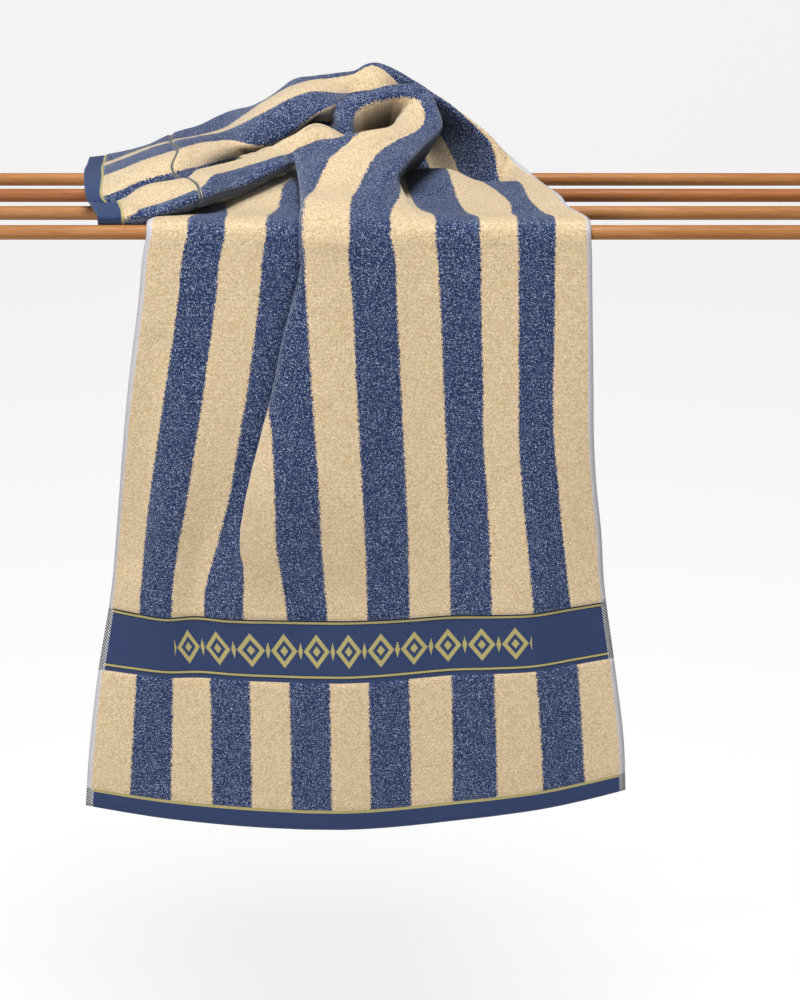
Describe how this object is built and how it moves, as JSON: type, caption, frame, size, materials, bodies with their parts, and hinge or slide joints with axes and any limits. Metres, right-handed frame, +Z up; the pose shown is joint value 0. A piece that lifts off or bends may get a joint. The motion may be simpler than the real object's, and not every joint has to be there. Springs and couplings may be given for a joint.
{
  "type": "hand towel on wooden rack rods",
  "caption": "Striped terry hand towel draped over parallel round wooden rods, hanging in front with a pleat and its far end rolled over onto the rods",
  "frame": {"origin": "middle of the front rod, on its axis", "axes": "+X to the right along the rods, +Y away from the viewer across the rods, +Z up"},
  "size_m": [0.82, 0.2781, 0.6619],
  "materials": {
    "terry": "looped pile, cream and blue stripes",
    "wood": "satin, oiled"
  },
  "bodies": {
    "root": {"towel": "terry", "front_rod": "wood", "second_rod": "wood", "third_rod": "wood", "back_rod": "wood"}
  },
  "joints": []
}
